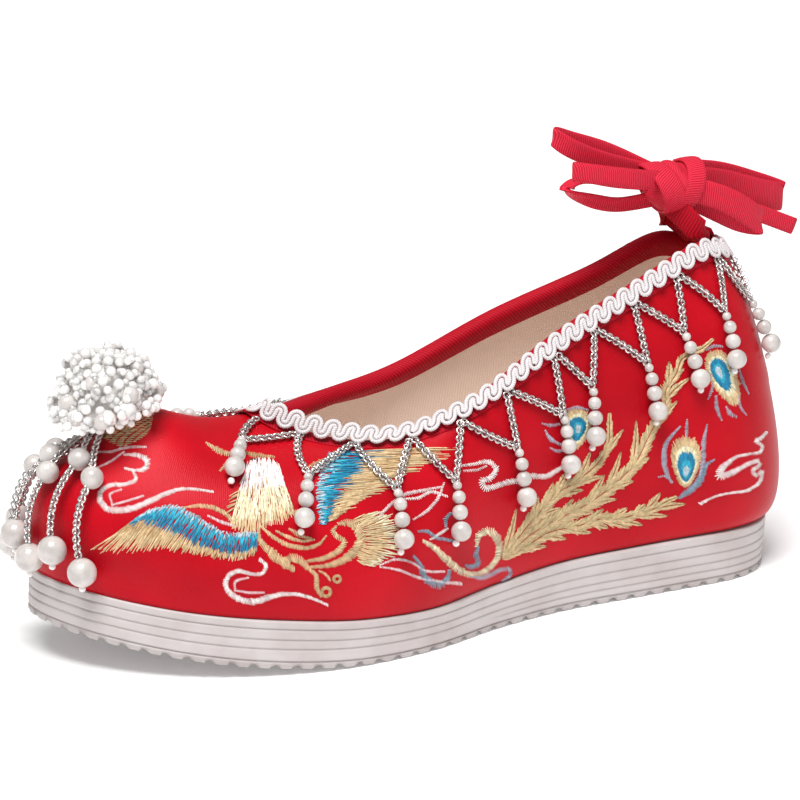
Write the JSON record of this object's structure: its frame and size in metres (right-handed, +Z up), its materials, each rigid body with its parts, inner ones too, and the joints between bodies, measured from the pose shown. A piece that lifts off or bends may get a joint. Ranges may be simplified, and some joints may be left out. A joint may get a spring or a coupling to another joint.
{
  "type": "embroidered wedding shoe",
  "caption": "Red satin slip-on wedding shoe with upturned toe, phoenix embroidery, bead pompom and fringe, heel ribbon bow and a pale ribbed rubber sole.",
  "frame": {"origin": "point on the flat of the tread, midway between heel end and toe tip on the heel's centre line", "axes": "+Z up from the floor, -X to the toe, -Y to the outer side of the foot"},
  "size_m": [0.2716, 0.0964, 0.1433],
  "materials": {
    "pale_rubber": "matt moulded rubber",
    "linen_lining": "plain woven lining",
    "red_satin": "red satin weave",
    "red_twill_tape": "red twill tape",
    "white_braid": "white corded braid",
    "pearl_and_chain": "pearl beads and fine silver chain"
  },
  "bodies": {
    "root": {"outsole": "pale_rubber", "insole": "linen_lining", "upper": "red_satin", "collar_binding": "red_twill_tape", "gimp_braid": "white_braid", "fringe_outer_01": "pearl_and_chain", "fringe_outer_02": "pearl_and_chain", "fringe_outer_03": "pearl_and_chain", "fringe_outer_04": "pearl_and_chain", "fringe_outer_05": "pearl_and_chain", "fringe_outer_06": "pearl_and_chain", "fringe_outer_07": "pearl_and_chain", "fringe_outer_08": "pearl_and_chain", "fringe_outer_09": "pearl_and_chain", "fringe_outer_10": "pearl_and_chain", "fringe_outer_11": "pearl_and_chain", "fringe_inner_01": "pearl_and_chain", "fringe_inner_02": "pearl_and_chain", "fringe_inner_03": "pearl_and_chain", "fringe_inner_04": "pearl_and_chain", "fringe_inner_05": "pearl_and_chain", "fringe_inner_06": "pearl_and_chain", "fringe_inner_07": "pearl_and_chain", "fringe_inner_08": "pearl_and_chain", "fringe_inner_09": "pearl_and_chain", "fringe_inner_10": "pearl_and_chain", "fringe_inner_11": "pearl_and_chain", "pompom": "pearl_and_chain", "tassel_strand_1": "pearl_and_chain", "tassel_strand_2": "pearl_and_chain", "tassel_strand_3": "pearl_and_chain", "tassel_strand_4": "pearl_and_chain", "tassel_strand_5": "pearl_and_chain", "tassel_strand_6": "pearl_and_chain", "heel_loop": "red_twill_tape", "bow_knot": "red_twill_tape", "bow_loop_high": "red_twill_tape", "bow_loop_front": "red_twill_tape", "bow_loop_low": "red_twill_tape", "bow_loop_back": "red_twill_tape", "bow_loop_near": "red_twill_tape", "bow_end": "red_twill_tape", "bow_tie": "red_twill_tape"}
  },
  "joints": []
}
